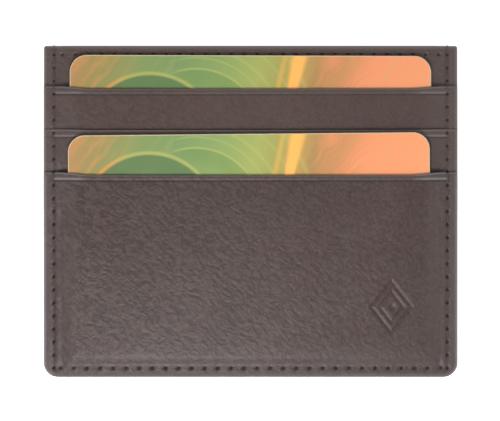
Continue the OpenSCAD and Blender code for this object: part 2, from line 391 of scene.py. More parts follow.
def emboss_depth(x, y):
    """A blind-stamped mark: two nested lozenges round a dot."""
    dx, dy = np.abs(x - EMBOSS_CENTRE[0]), np.abs(y - EMBOSS_CENTRE[1])
    half_x, half_y = EMBOSS_HALF
    ring = dx / half_x + dy / half_y
    to_mm = half_x * half_y / math.hypot(half_x, half_y)
    depth = np.zeros_like(x)
    for at, deep in ((0.95, 0.16), (0.56, 0.14)):
        depth = np.maximum(depth, deep * np.exp(-(np.abs(ring - at) * to_mm / 0.36) ** 4))
    depth = np.maximum(depth, 0.2 * np.exp(-(np.hypot(dx, dy) / 0.8) ** 4))
    pillow = 0.05 * smoothstep(1.15, 0.85, ring)
    return depth + pillow


def rolled(distance, across, deep):
    """How far a rounded edge falls at a distance from it."""
    share = np.clip(1 - distance / across, 0, 1)
    return deep * (1 - np.sqrt(np.clip(1 - share ** 2, 0, 1)))


def seam_holes(sheet, node):
    """Needle holes through a sheet: their places, and the slant of each."""
    low, high = sheet["foot"], sheet["mouth"]
    holes = []
    for side in (-1, 1):
        holes += [(side * SEAM_X, y, 65.0) for y in SIDE_HOLES if low - 0.3 < y < high + 0.1]
    if node.endswith("pocket_panel"):
        holes += [(x, BOTTOM_SEAM_Y, 20.0) for x in BOTTOM_HOLES]
    if node.endswith("top_facing"):
        holes += [(x, HEM_Y, 20.0) for x in HEM_HOLES]
    return holes


HOLE_WIDE, HOLE_NARROW = 0.40, 0.33


def hole_shares(x, y, holes):
    """1 in the middle of each slanted needle hole, falling to 0 round it."""
    found = np.zeros_like(x)
    for hx, hy, slant in holes:
        near = (np.abs(x - hx) < 1.6) & (np.abs(y - hy) < 1.6)
        dx, dy = x[near] - hx, y[near] - hy
        turn = math.radians(slant)
        u = dx * math.cos(turn) + dy * math.sin(turn)
        v = -dx * math.sin(turn) + dy * math.cos(turn)
        share = np.exp(-((u / HOLE_WIDE) ** 2 + (v / HOLE_NARROW) ** 2) ** 1.5)
        found[near] = np.maximum(found[near], share)
    return found


def seam_lines(x, y, node):
    """1 along the seams of a sheet, falling to 0 beside them."""
    groove = bell(np.abs(x) - SEAM_X, 0.5) * smoothstep(BOTTOM_SEAM_Y - 0.6, BOTTOM_SEAM_Y, y)
    if node.endswith("pocket_panel"):
        reach = smoothstep(SEAM_X + 0.6, SEAM_X, np.abs(x))
        groove = np.maximum(groove, bell(y - BOTTOM_SEAM_Y, 0.5) * reach)
    if node.endswith("top_facing"):
        reach = smoothstep(SEAM_X + 0.3, SEAM_X - 0.3, np.abs(x))
        groove = np.maximum(groove, 0.5 * bell(y - HEM_Y, 0.45) * reach)
    return groove


CREASE_BELOW_MOUTH = 2.0
GROOVE_DEPTH = 0.08
SMOOTH_SHARE = 0.55     # how much of the wrinkles' depth the strips and the top leather have


def has_mouth(node):
    return "strip" in node or node.endswith("pocket_panel")


def mouth_sag(node, x, y, mouth):
    """How far the mouth's edge is drawn down in its middle, over the cards."""
    if not has_mouth(node):
        return np.zeros_like(x)
    deep = {"front_strip_1": 0.6, "front_strip_2": 0.15, "front_pocket_panel": 0.7}.get(node, 0.2)
    middle = smoothstep(SEAM_X - 1.0, SEAM_X - 9.0, np.abs(x)) * (1 - 0.15 * (x / HALF_W) ** 2)
    return deep * middle * smoothstep(mouth - CREASE_BELOW_MOUTH + 0.2, mouth, y)


# The leather sheet whose mouth lies over another one
COVERED_BY = {
    f"{half}_{under}": f"{half}_{over}"
    for half in ("front", "back")
    for under, over in (
        ("top_facing", "strip_1"), ("strip_1", "strip_2"), ("strip_2", "pocket_panel"),
    )
}


def leather_detail(node, sheet, x, y, relief, cover_y):
    """How far a leather face is sunk in, how much painted shade it gets in holes, grooves, creases
    and under the mouth above it, and how much painted highlight along its edges, lips and slopes.
    """
    edge = from_edge(x, y)
    thick = sheet["thick"]
    holes = seam_holes(sheet, node)
    lines = seam_lines(x, y, node)
    punched = hole_shares(x, y, holes)
    grained = 1.0 if node.endswith("pocket_panel") else SMOOTH_SHARE
    depth = relief * grained * smoothstep(0.5, 2.2, edge) + rolled(edge, 1.0, 0.6 * thick)
    depth += GROOVE_DEPTH * lines + 0.6 * thick * punched
    # painted shade: needle holes and, faintly, seam grooves are coloured darker, where shade falls
    # in them
    dark = np.maximum(punched, 0.08 * lines)
    aside = np.abs(x)   # painted highlight on the margins and on the slopes beside the cards
    margin = 0.22 * smoothstep(HALF_W - 2.7, HALF_W - 1.5, aside)
    card_edge = 0.12 * smoothstep(40.3, 42.8, aside) * smoothstep(46.8, 45.6, aside)
    # painted highlight along the outline's rolled edge, as if light caught it
    highlight_share = np.maximum(bell(edge, 0.62), np.maximum(margin, card_edge))
    ends = smoothstep(SEAM_X - 9.0, SEAM_X - 5.0, aside)
    # painted shadow: a dark band just above the mouth of the sheet that covers this one, standing
    # for the shadow of that mouth's edge
    if cover_y is not None:
        above = y - cover_y + mouth_sag(COVERED_BY[node], x, cover_y, cover_y)
        inside = smoothstep(SEAM_X + 0.2, SEAM_X - 0.6, aside)
        dark = np.maximum(dark, 0.6 * bell(np.clip(above, 0, None), 0.42) * inside)
    if has_mouth(node):
        below = sheet["mouth"] - y
        within = smoothstep(SEAM_X + 0.5, SEAM_X - 0.4, aside)
        depth += rolled(below, 0.3, 0.2)
        depth += 0.09 * bell(below - CREASE_BELOW_MOUTH, 0.17) * within
        depth += 0.05 * smoothstep(CREASE_BELOW_MOUTH + 0.1, CREASE_BELOW_MOUTH - 0.2, below)
        # painted shade along the crease below the mouth
        dark = np.maximum(dark, 0.4 * bell(below - CREASE_BELOW_MOUTH, 0.2) * within)
        # painted highlights: a pale line at the mouth's edge and another along the crease,
        # brightest at the ends
        highlight_share = np.maximum(highlight_share, (0.45 + 0.4 * ends) * bell(below - 0.22, 0.22))
        lip = smoothstep(CREASE_BELOW_MOUTH, CREASE_BELOW_MOUTH - 0.4, below)
        line = bell(below - CREASE_BELOW_MOUTH + 0.42, 0.22)
        highlight_share = np.maximum(highlight_share, ((0.08 + 0.1 * ends) * lip + (0.12 + 0.8 * ends) * line) * within)
    if node == "front_pocket_panel":
        # painted highlight on the panel just above the bottom seam
        up = y - BOTTOM
        highlight_paint = 0.06 * smoothstep(9.0, 5.0, up) + 0.10 * smoothstep(4.6, 3.4, up)
        highlight_share = np.maximum(highlight_share, highlight_paint * smoothstep(1.8, 2.6, up))
        mark = emboss_depth(x, y)
        depth += mark
        # painted shade: the mark's sunken lines are coloured darker
        dark = np.maximum(dark, 0.7 * mark)
    return depth, dark, highlight_share


# ---------------- meshes

def mesh_object(name, vertices, faces, materials, indices=None, attributes=None):
    """A mesh object in the row frame, from vertices in millimetres."""
    mesh = bpy.data.meshes.new(name)
    mesh.from_pydata((np.asarray(vertices) * MM).tolist(), [], faces)
    for material in materials:
        mesh.materials.append(material)
    if indices is not None:
        mesh.polygons.foreach_set("material_index", np.asarray(indices, np.int32))
    mesh.polygons.foreach_set("use_smooth", np.full(len(faces), True))
    for key, values in (attributes or {}).items():
        layer = mesh.attributes.new(key, "FLOAT", "POINT")
        layer.data.foreach_set("value", np.asarray(values, np.float32).ravel())
    mesh.update()
    obj = bpy.data.objects.new(name, mesh)
    bpy.context.scene.collection.objects.link(obj)
    return obj


def quads(grid, turned=False):
    """The faces between the points of a grid of vertex numbers."""
    a, b, c, d = grid[:-1, :-1], grid[:-1, 1:], grid[1:, 1:], grid[1:, :-1]
    order = (a, d, c, b) if turned else (a, b, c, d)
    return np.stack([part.ravel() for part in order], axis=1).tolist()


def sheet_faces(rows, columns, flip):
    """Faces of a closed sheet: fine visible face, coarse hidden face and the walls round them."""
    fine = np.arange(rows * columns).reshape(rows, columns)
    few = fine[::INNER_EVERY, ::INNER_EVERY]
    coarse = fine.size + np.arange(few.size).reshape(few.shape)

    walls = []
    rims = [
        (fine[0], coarse[0], False), (fine[-1], coarse[-1], True),
        (fine[:, 0], coarse[:, 0], True), (fine[:, -1], coarse[:, -1], False),
    ]
    for outer, inner, turned in rims:
        for k in range(len(inner) - 1):
            run = outer[k * INNER_EVERY:(k + 1) * INNER_EVERY + 1].tolist()
            face = [int(inner[k]), int(inner[k + 1])] + run[::-1]
            walls.append(face[::-1] if turned != flip else face)
    top, under = quads(fine, flip), quads(coarse, not flip)
    return top + under + walls, [0] * len(top) + [1] * len(under) + [2] * len(walls)


def sheet_lines(node, sheet, kind):
    """The grid lines of a sheet's mesh, closer at its edges, seams, creases and mark."""
    reach = sheet["reach"]
    foot, mouth = sheet["foot"], sheet["mouth"]
    if kind == "cloth":
        zones_x = [(side * (reach - 2), 3, 0.35) for side in (-1, 1)]
        zones_y = [(foot, 0.1, 0.4), (mouth, 0.1, 0.4)]
        lower = [(BOTTOM, 0.4, 0.3)] if foot < BOTTOM + 0.1 else []
        xs = graded(-reach, reach, 1.4, zones_x)
        return xs, graded(foot, mouth, 1.2, zones_y + lower)
    zones_x = [(side * reach, 0.15, 0.09) for side in (-1, 1)]
    zones_x += [(side * SEAM_X, 0.4, 0.17) for side in (-1, 1)]
    zones_y = [(foot, 0.1, 0.1), (mouth, 0.3, 0.09)]
    zones_y += [(y, 0.28, 0.18) for y in SIDE_HOLES if foot < y < mouth]
    if has_mouth(node):
        zones_y.append((mouth - CREASE_BELOW_MOUTH, 0.25, 0.1))
    if node.endswith("pocket_panel"):
        zones_y.append((BOTTOM_SEAM_Y, 0.4, 0.17))
        zones_x += [(x, 0.28, 0.2) for x in BOTTOM_HOLES]
    if node.endswith("top_facing"):
        zones_y.append((HEM_Y, 0.4, 0.17))
        zones_x += [(x, 0.28, 0.2) for x in HEM_HOLES]
    if node == "front_pocket_panel":
        zones_x.append((EMBOSS_CENTRE[0], EMBOSS_HALF[0], 0.2))
        zones_y.append((EMBOSS_CENTRE[1], EMBOSS_HALF[1], 0.2))
    return graded(-reach, reach, 0.5, zones_x), graded(foot, mouth, 0.5, zones_y)


def make_sheet(node, name, kind, settled, relief, materials):
    """The visible piece of one sheet, with its detail on the side that shows."""
    sheet = settled[node]
    xs, ys = sheet_lines(node, sheet, kind)
    square_x, square_y = np.meshgrid(xs, ys)
    x = square_x * half_width(square_y) / HALF_W
    y = square_y - mouth_sag(node, x, square_y, sheet["mouth"])
    low = sampled(sheet["low"], square_x, square_y)
    high = sampled(sheet["high"], square_x, square_y)
    edge = from_edge(x, square_y)
    ends = np.minimum(square_y - sheet["foot"], sheet["mouth"] - square_y)
    hidden_round = rolled(np.minimum(edge, ends), 0.15, 0.2 * sheet["thick"])
    if kind == "cloth":
        weave = np.zeros_like(x)
        outer, inner, dark, highlight_share = high - hidden_round, low + hidden_round, weave, weave
    else:
        bumps = sampled(relief, square_x, square_y)
        cover = COVERED_BY.get(node)
        cover_y = settled[cover]["mouth"] if cover else None
        depth, dark, highlight_share = leather_detail(node, sheet, x, square_y, bumps, cover_y)
        depth = np.minimum(depth, 0.82 * (high - low))
        if kind == "front":
            outer, inner = high - depth, low + hidden_round
        else:
            outer, inner = low + depth, high - hidden_round
    few = np.s_[::INNER_EVERY, ::INNER_EVERY]
    vertices = np.concatenate([
        np.stack([x, y, outer], axis=-1).reshape(-1, 3),
        np.stack([x[few], y[few], inner[few]], axis=-1).reshape(-1, 3),
    ])
    faces, indices = sheet_faces(len(ys), len(xs), kind == "back")
    # painted shade and painted highlight of each vertex of the visible face, none on the hidden
    # face
    marks = {
        key: np.append(field, np.zeros(x[few].size))
        for key, field in (("pressed", dark), ("painted_highlight", highlight_share))
    }
    piece = mesh_object(name, vertices, faces, materials, indices, attributes=marks)
    piece.data.set_sharp_from_angle(angle=math.radians(50))
    return piece


# ---------------- threads

PLY_SIDES = 6
PLY_PITCH = 0.85        # one turn of the plies
GUIDE = np.array([0.31, 0.27, 0.91])


def across_path(path):
    """Two directions at right angles to a path, at each of its points."""
    ahead = np.gradient(path, axis=0)
    ahead /= np.linalg.norm(ahead, axis=1)[:, None]
    first = np.cross(ahead, GUIDE)
    first /= np.linalg.norm(first, axis=1)[:, None]
    return first, np.cross(ahead, first)


def tube(path, radius):
    """Vertices and faces of a tube along a path, with closed ends."""
    first, second = across_path(path)
    around = np.arange(PLY_SIDES) / PLY_SIDES * 2 * math.pi
    ring = np.cos(around)[None, :, None] * first[:, None]
    ring = ring + np.sin(around)[None, :, None] * second[:, None]
    vertices = (path[:, None] + radius * ring).reshape(-1, 3)
    index = np.arange(len(vertices)).reshape(-1, PLY_SIDES)
    faces = quads(np.column_stack([index, index[:, 0]]))
    return vertices, faces + [index[0][::-1].tolist(), index[-1].tolist()]


def twisted(path):
    """Two plies of a thread laid round each other along a path."""
    path = np.asarray(path)
    steps = np.linalg.norm(np.diff(path, axis=0), axis=1)
    along = np.concatenate([[0], np.cumsum(steps)])
    count = max(12, int(along[-1] / 0.11))
    even = np.linspace(0, along[-1], count)
    line = np.stack([np.interp(even, along, path[:, k]) for k in range(3)], axis=1)
    first, second = across_path(line)
    radius = THREAD_T / 2
    parts = []
    for ply in (0, 1):
        turn = even / PLY_PITCH * 2 * math.pi + ply * math.pi
        off = np.cos(turn)[:, None] * first + np.sin(turn)[:, None] * second
        parts.append(tube(line + off * radius * 0.46, radius * 0.56))
    return parts


def joined(parts):
    """One list of vertices and one of faces from several."""
    vertices, faces, base = [], [], 0
    for part_vertices, part_faces in parts:
        vertices.append(part_vertices)
        faces += [[base + i for i in face] for face in part_faces]
        base += len(part_vertices)
    return np.concatenate(vertices), faces


STITCH_DIP = 0.6        # how deep a thread goes into a hole before it is hidden


def stitch_line(holes, surface, out, middle):
    """The path of one thread of a lockstitch: over the leather between the holes, and into each
    hole as far as the middle. surface(p) is the face's height, and out is 1 on the front face."""
    path = []
    for i in range(len(holes) - 1):
        start, stop = np.array(holes[i]), np.array(holes[i + 1])
        span = np.linalg.norm(stop - start)
        aside = np.array([-(stop - start)[1], (stop - start)[0]]) / span * 0.07
        if i == 0:
            path.append([*start, middle(start)])
        for share in (0.0, 0.07, 0.14, 0.21, 0.3, 0.5, 0.7, 0.79, 0.86, 0.93, 1.0):
            p = start + (stop - start) * share + aside * math.cos(math.pi * share)
            sink = STITCH_DIP * (1 - smoothstep(0.04, 0.26, min(share, 1 - share)))
            path.append([*p, surface(p) + out * (THREAD_T * 0.04 - sink)])
        path.append([*stop, middle(stop)])
    return path


def seam_piece(name, node, slot, lines, looks):
    """One seam's threads as one piece of the wallet, which stands for its CAD node."""
    parts = []
    for path in lines:
        parts += twisted(path)
    vertices, faces = joined(parts)
    piece = mesh_object(name, vertices, faces, [looks[slot]])
    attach(piece, "wallet")
    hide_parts(node)


# ---------------- materials

class Look:
    """A material, with a short way to add nodes to it and link them."""

    def __init__(self, name):
        self.material = bpy.data.materials.new(name)
        self.material.use_nodes = True
        self.tree = self.material.node_tree
        self.tree.nodes.clear()
        self.shader = self.tree.nodes.new("ShaderNodeBsdfPrincipled")
        output = self.tree.nodes.new("ShaderNodeOutputMaterial")
        self.tree.links.new(self.shader.outputs[0], output.inputs["Surface"])

    def set(self, node, values):
        for key, value in values.items():
            socket = node.inputs[key]
            if isinstance(value, bpy.types.NodeSocket):
                self.tree.links.new(value, socket)
            else:
                socket.default_value = value

    def finished(self, values):
        """The material, with these values on its shader."""
        self.set(self.shader, values)
        return self.material

    def add(self, kind, values=None, **settings):
        node = self.tree.nodes.new("ShaderNode" + kind)
        for key, value in settings.items():
            setattr(node, key, value)
        self.set(node, values or {})
        return node

    def math(self, operation, a, b=0.0, c=0.0, clamp=False):
        node = self.add("Math", {0: a, 1: b}, operation=operation, use_clamp=clamp)
        if operation == "MULTIPLY_ADD":
            self.set(node, {2: c})
        return node.outputs[0]

    def times(self, a, b):
        return self.math("MULTIPLY", a, b)

    def minus(self, a, b):
        return self.math("SUBTRACT", a, b)

    def range(self, value, low, high, to_low=0.0, to_high=1.0):
        node = self.add(
            "MapRange", {0: value, 1: low, 2: high, 3: to_low, 4: to_high},
            interpolation_type="SMOOTHSTEP",
        )
        return node.outputs[0]

    def mix(self, factor, a, b):
        return self.add("Mix", {0: factor, 6: a, 7: b}, data_type="RGBA").outputs[2]

    def ramp(self, value, stops):
        node = self.add("ValToRGB", {0: value})
        elements = node.color_ramp.elements
        while len(elements) < len(stops):
            elements.new(0.5)
        for element, (place, tone) in zip(elements, stops):
            element.position = place
            element.color = tone
        return node.outputs[0]

    def millimetres(self):
        place = self.add("TexCoord").outputs["Object"]
        return self.add("VectorMath", {0: place, 1: (1000.0,) * 3}, operation="MULTIPLY").outputs[0]

    def noise(self, place, scale, detail, roughness=0.5, output=0):
        values = {"Vector": place, "Scale": scale, "Detail": detail, "Roughness": roughness}
        return self.add("TexNoise", values).outputs[output]

    def drifted(self, place, scale, amount):
        """The place, moved about by soft noise."""
        drift = self.noise(place, scale, 2.0, output="Color")
        values = {0: drift, 1: (amount, amount, 0.0), 2: place}
        return self.add("VectorMath", values, operation="MULTIPLY_ADD").outputs[0]

    def streaks(self, place, degrees, stretch, detail):
        """Noise drawn out by two amounts, in a turned frame."""
        turn = (0, 0, math.radians(degrees))
        values = {"Vector": place, "Rotation": turn, "Scale": (*stretch, 1.0)}
        turned = self.add("Mapping", values, vector_type="TEXTURE").outputs[0]
        return self.noise(turned, 1.0, detail)

    def attribute(self, name):
        return self.add("Attribute", attribute_name=name).outputs["Fac"]

    def bump(self, height, distance, strength):
        node = self.add("Bump", {"Height": height, "Distance": distance, "Strength": strength})
        return node.outputs[0]


def srgb(*values, share=1.0):
    """A colour from its sRGB values of 0 to 255, times a share."""
    parts = [v / 12.92 if v <= 0.04045 else ((v + 0.055) / 1.055) ** 2.4
             for v in (value / 255 for value in values)]
    return (*(share * part for part in parts), 1.0)


INK_SHARE = 0.86        # printed colours are a little darker than they look under the lights
# darker colour of the grain's creases, cells and pores: partly the leather's own tone, partly
# painted shade
GRAIN_TONE_AND_SHADE = (0.022, 0.014, 0.012, 1)
# colour of the painted shade in holes, grooves, creases and under mouths
PAINTED_SHADE_COLOUR = (0.008, 0.005, 0.005, 1)


def ink(*values):
    return srgb(*values, share=INK_SHARE)


def leather_look(name, highlight_paint, deep, pale, grain):
    """Semi-matte grained leather: pebbles, diagonal creases, mottling, painted shade in holes,
    grooves and under mouths, and painted highlights along edges and lips.
    """
    look = Look(name)
    place = look.millimetres()
    axes = look.add("SeparateXYZ", {0: place}).outputs
    shifted = look.drifted(place, 0.16, 3.4)
    streaks = look.streaks(shifted, -42, (2.2, 1.0), 2.0)
    pebbles = look.add(
        "TexVoronoi", {"Vector": shifted, "Scale": 1.15, "Randomness": 0.95, "Smoothness": 0.4},
        feature="SMOOTH_F1",
    ).outputs[0]
    pores = look.noise(place, 2.6, 3.0, 0.6)
    mottle = look.noise(place, 0.05, 3.0, 0.6)
    blotches = look.noise(shifted, 0.085, 4.0, 0.65)
    across = look.math("MULTIPLY_ADD", axes["Y"], 0.7, axes["X"])
    drawn = look.range(across, 45.0, -50.0, 0.3, 1.0)
    creased = look.times(look.range(streaks, 0.60, 0.36), drawn)
    cells = look.range(pebbles, 0.3, 0.75)
    height = look.math("MULTIPLY_ADD", creased, -1.0, look.times(cells, -0.55))
    height = look.math("MULTIPLY_ADD", pores, 0.55, height)
    colour = look.mix(look.range(mottle, 0.12, 0.88), deep, pale)
    reddish = (*(part * tint for part, tint in zip(deep, (1.16, 0.96, 0.94))), 1)
    colour = look.mix(look.range(blotches, 0.48, 0.66, 0.0, 0.45), colour, reddish)
    # grain darkened in its creases, cells and pores: partly the leather's own tone, partly painted
    # shade
    colour = look.mix(look.times(creased, grain), colour, GRAIN_TONE_AND_SHADE)
    colour = look.mix(look.times(cells, 0.55 * grain), colour, GRAIN_TONE_AND_SHADE)
    colour = look.mix(look.range(pores, 0.52, 0.34, 0.0, 0.8 * grain), colour, GRAIN_TONE_AND_SHADE)
    # painted highlight: the colour turns paler where the mask is set
    colour = look.mix(look.attribute("painted_highlight"), colour, highlight_paint)
    # painted shade: the colour darkens where the mask is set
    pressed = look.math("MULTIPLY", look.attribute("pressed"), 0.93, clamp=True)
    return look.finished({
        "Base Color": look.mix(pressed, colour, PAINTED_SHADE_COLOUR),
        "Roughness": look.range(pores, 0.3, 0.7, 0.40, 0.48), "Specular IOR Level": 0.27,
        "Normal": look.bump(height, 0.000045, 0.7),
    })


def fibre_look(name, texture, dark, pale, roughness, relief, sheen=0.0):
    """Noise of one scale that sets the colour, the roughness and the relief."""
    look = Look(name)
    fibres = look.noise(look.millimetres(), *texture)
    return look.finished({
        "Base Color": look.mix(look.range(fibres, 0.3, 0.7), srgb(*dark), srgb(*pale)),
        "Roughness": look.range(fibres, 0.3, 0.7, *roughness),
        "Normal": look.bump(fibres, *relief), "Sheen Weight": sheen,
    })


def edge_and_flesh_looks():
    """Painted edges with slight waves along them, and the leather's matte suede side."""
    return (
        fibre_look("painted_edge", (0.9, 3.0), (66, 57, 55), (92, 83, 81), (0.4, 0.55),
                   (0.00005, 0.4)),
        fibre_look("leather_back", (2.6, 5.0, 0.75), (70, 58, 52), (104, 90, 82), (0.85, 0.97),
                   (0.00006, 0.7)),
    )


def thread_look(name, dark, pale):
    """Waxed sewing thread: fine fibres along each ply."""
    return fibre_look(name, (7.0, 3.0, 0.7), dark, pale, (0.5, 0.7), (0.00002, 0.5), 0.2)


def cloth_look(name, dark, pale):
    """A plain weave of fine yarns."""
    look = Look(name)
    place = look.millimetres()
    yarns = []
    for direction in ("X", "Y"):
        wave = look.add(
            "TexWave", {"Vector": place, "Scale": 0.9, "Distortion": 0.6, "Detail": 1.0},
            wave_type="BANDS", bands_direction=direction,
        )
        yarns.append(wave.outputs["Fac"])
    weave = look.times(yarns[0], yarns[1])
    fuzz = look.noise(place, 1.7, 4.0)
    return look.finished({
        "Base Color": look.mix(look.times(weave, fuzz), srgb(*dark), srgb(*pale)),
        "Roughness": look.range(fuzz, 0.3, 0.7, 0.8, 0.95),
        "Sheen Weight": 0.25, "Normal": look.bump(weave, 0.00005, 0.6),
    })


# The print's colours along the card, by their place as a share of 100 mm
PRINT_STOPS = [
    (0.015, ink(188, 147, 97)), (0.05, ink(170, 149, 93)), (0.10, ink(152, 153, 94)),
    (0.16, ink(140, 159, 99)), (0.27, ink(132, 159, 102)), (0.38, ink(150, 172, 103)),
    (0.455, ink(174, 181, 102)), (0.505, ink(174, 169, 96)), (0.545, ink(200, 170, 92)),
    (0.59, ink(192, 150, 95)), (0.625, ink(234, 156, 106)), (0.67, ink(251, 161, 113)),
    (0.76, ink(257, 165, 117)), (0.88, ink(259, 171, 120)),
]
# Rings inside the second ring: how much smaller, half the line's width, strength
ECHOES = [(2.6, 0.4, 0.3), (5.0, 0.7, 0.3), (8.6, 0.5, 0.25), (12.5, 0.9, 0.25)]


def card_look(width, height):
    """A glossy printed card: rings over green, gold bands, an orange end and a cream rim."""
    look = Look("card_print")
    wide = look.millimetres()
    axes = look.add("SeparateXYZ", {0: wide}).outputs
    x = look.math("ADD", axes[0], width / 2)
    down = look.minus(height / 2, axes[1])
    slant = look.math("MULTIPLY_ADD", down, 0.22, x)
    strokes = look.streaks(look.drifted(wide, 0.09, 7.0), 50, (14.0, 1.8), 3.0)

    field = look.ramp(look.math("DIVIDE", slant, 100.0), PRINT_STOPS)
    shade = look.range(strokes, 0.4, 0.6, 0.0, 0.4)
    left_end = look.range(x, 20.0, 3.0)
    middle = look.times(look.range(slant, 56.0, 60.0), look.range(slant, 74.0, 64.0))
    field = look.mix(look.times(shade, left_end), field, ink(226, 150, 92))
    field = look.mix(look.times(shade, middle), field, ink(150, 132, 78))
    field = look.mix(look.range(strokes, 0.5, 0.7, 0.0, 0.12), field, ink(196, 190, 120))

    def ring(cx, cy, radius):
        dx, dy = look.minus(x, cx), look.minus(down, cy)
        squares = look.math("ADD", look.times(dx, dx), look.times(dy, dy))
        return look.minus(look.math("SQRT", squares), radius)

    def stroke(distance, half, share):
        return look.times(look.range(look.math("ABSOLUTE", distance), half, 0.0), share)

    first = ring(19.0, 20.6, 16.3)
    second = ring(30.0, 18.9, 15.7)
    inside = look.times(look.range(first, -0.1, -0.7), look.range(first, -9.0, -3.0))
    field = look.mix(look.times(inside, 0.8), field, ink(96, 126, 82))
    inside = look.times(look.range(second, 0.2, -0.4), look.range(second, -6.0, -2.0))
    inside = look.times(inside, look.range(x, 23.0, 30.0))
    field = look.mix(look.times(inside, 0.4), field, ink(108, 146, 80))
    warm = look.mix(look.range(x, 8.0, 15.0), ink(240, 160, 84), ink(190, 190, 104))
    field = look.mix(stroke(first, 0.75, 0.75), field, warm)
    right = look.range(x, 23.0, 28.0)
    field = look.mix(look.times(stroke(second, 0.45, 0.55), right), field, ink(190, 198, 116))
    for further, half, share in ECHOES:
        echo = look.times(stroke(look.minus(second, further), half, share), right)
        field = look.mix(echo, field, ink(196, 206, 122))

    gold = look.math("ABSOLUTE", look.minus(slant, 54.5))
    taper = look.math("MAXIMUM", look.math("MULTIPLY_ADD", down, -0.12, 2.7), 1.2)
    field = look.mix(look.range(gold, taper, 0.6), field, ink(276, 196, 102))
    field = look.mix(stroke(look.minus(slant, 51.0), 1.1, 0.8), field, ink(222, 182, 92))

    printed = look.range(look.attribute("inset"), 0.12, 0.26)
    gloss = look.noise(wide, 0.5, 2.0)
    return look.finished({
        "Base Color": look.mix(printed, ink(222, 202, 170), field),
        "Roughness": look.range(gloss, 0.3, 0.7, 0.3, 0.38), "Specular IOR Level": 0.3,
        "Normal": look.bump(gloss, 0.00004, 0.15), "Coat Weight": 0.1, "Coat Roughness": 0.2,
    })


def card_back_look(height):
    """The back of a card: pale, with one plain dark stripe and no print."""
    look = Look("card_back")
    place = look.millimetres()
    down = look.minus(height / 2, look.add("SeparateXYZ", {0: place}).outputs[1])
    speckle = look.noise(place, 1.6, 3.0)
    pale = look.mix(speckle, srgb(214, 206, 190), srgb(232, 226, 212))
    stripe = look.times(look.range(down, 4.4, 4.5), look.range(down, 17.2, 17.1))
    return look.finished({
        "Base Color": look.mix(stripe, pale, (0.03, 0.027, 0.026, 1)),
        "Roughness": look.range(speckle, 0.3, 0.7, 0.35, 0.45),
    })


def card_core_look():
    """The white plastic core that shows at a card's edge."""
    look = Look("card_core")
    layers = look.noise(look.millimetres(), 0.8, 2.0)
    return look.finished({
        "Base Color": look.mix(layers, ink(206, 186, 158), ink(226, 212, 188)),
        "Roughness": look.range(layers, 0.3, 0.7, 0.4, 0.55), "Subsurface Weight": 0.05,
    })


def floor_look():
    """A plain pale table top."""
    look = Look("pale_floor")
    cloudy = look.noise(look.add("TexCoord").outputs["Object"], 3.0, 2.0)
    return look.finished({
        "Base Color": look.mix(cloudy, (0.9, 0.9, 0.9, 1), (0.93, 0.93, 0.93, 1)),
        "Roughness": 0.8, "Specular IOR Level": 0.1,
        "Emission Color": (1.0, 1.0, 1.0, 1.0), "Emission Strength": 0.75,
    })


# ---------------- cards

def card_ring(size, radius, inset):
    """Points round a rounded rectangle, anticlockwise, a distance inside its outline."""
    half_x, half_y = size[0] / 2 - radius, size[1] / 2 - radius
    r = max(radius - inset, 0.01)
    points = []
    for cx, cy, start in ((1, 1, 0), (-1, 1, 90), (-1, -1, 180), (1, -1, 270)):
        for step in range(17):
            turn = math.radians(start + 90 * step / 16)
            points.append((cx * half_x + r * math.cos(turn), cy * half_y + r * math.sin(turn)))
    return np.array(points)


def make_card(node, name, materials):
    """A card with a soft rim, a cream border ring and a flat printed face."""
    pose = CARDS[node]
    size, radius = pose["size"], pose["radius"]
    half_t = size[2] / 2
    profile = [(3.6, half_t), (1.6, half_t), (0.3, half_t), (0.12, half_t), (0.08, half_t)]
    profile += [(0.03, half_t - 0.03), (0.0, half_t - 0.09), (0.0, -half_t + 0.09)]
    profile += [(0.03, -half_t + 0.03), (0.1, -half_t), (1.6, -half_t), (3.6, -half_t)]
    rings = [card_ring(size, radius, inset) for inset, _ in profile]
    count = len(rings[0])
    vertices = np.concatenate([
        np.column_stack([ring, np.full(count, z)]) for ring, (_, z) in zip(rings, profile)
    ])
    insets = np.repeat([3.0, 3.0] + [inset for inset, _ in profile[2:]], count)
    index = np.arange(len(vertices)).reshape(-1, count)
    round_faces = quads(np.column_stack([index, index[:, 0]]), turned=True)
    faces = [index[0].tolist()] + round_faces + [index[-1][::-1].tolist()]
    kinds = np.repeat([0, 0, 0, 0, 1, 1, 1, 1, 1, 2, 2], count)
    indices = [0, *kinds.tolist(), 2]
    card = mesh_object(name, vertices, faces, materials, indices, attributes={"inset": insets})
    card.data.set_sharp_from_angle(angle=math.radians(40))
    turn = Matrix(pose["axes"].T.tolist()).to_4x4()
    card.matrix_world = Matrix.Translation(Vector(pose["centre"] * MM)) @ turn
    return card


# ---------------- the wallet

def surface_of(names, face, settled):
    """Height of some sheets' outermost face at a point: the highest top or lowest base."""
    best = np.max if face == "high" else np.min

    def height(p):
        x, y = np.array([float(p[0])]), np.array([float(p[1])])
        square_x = x * HALF_W / half_width(y)
        sheets = [settled[node] for node in names]
        here = [s for s in sheets if s["foot"] - 0.01 <= p[1] <= s["mouth"] + 0.01]
        return float(best([sampled(s[face], square_x, y)[0] for s in here or sheets[-1:]]))

    return height


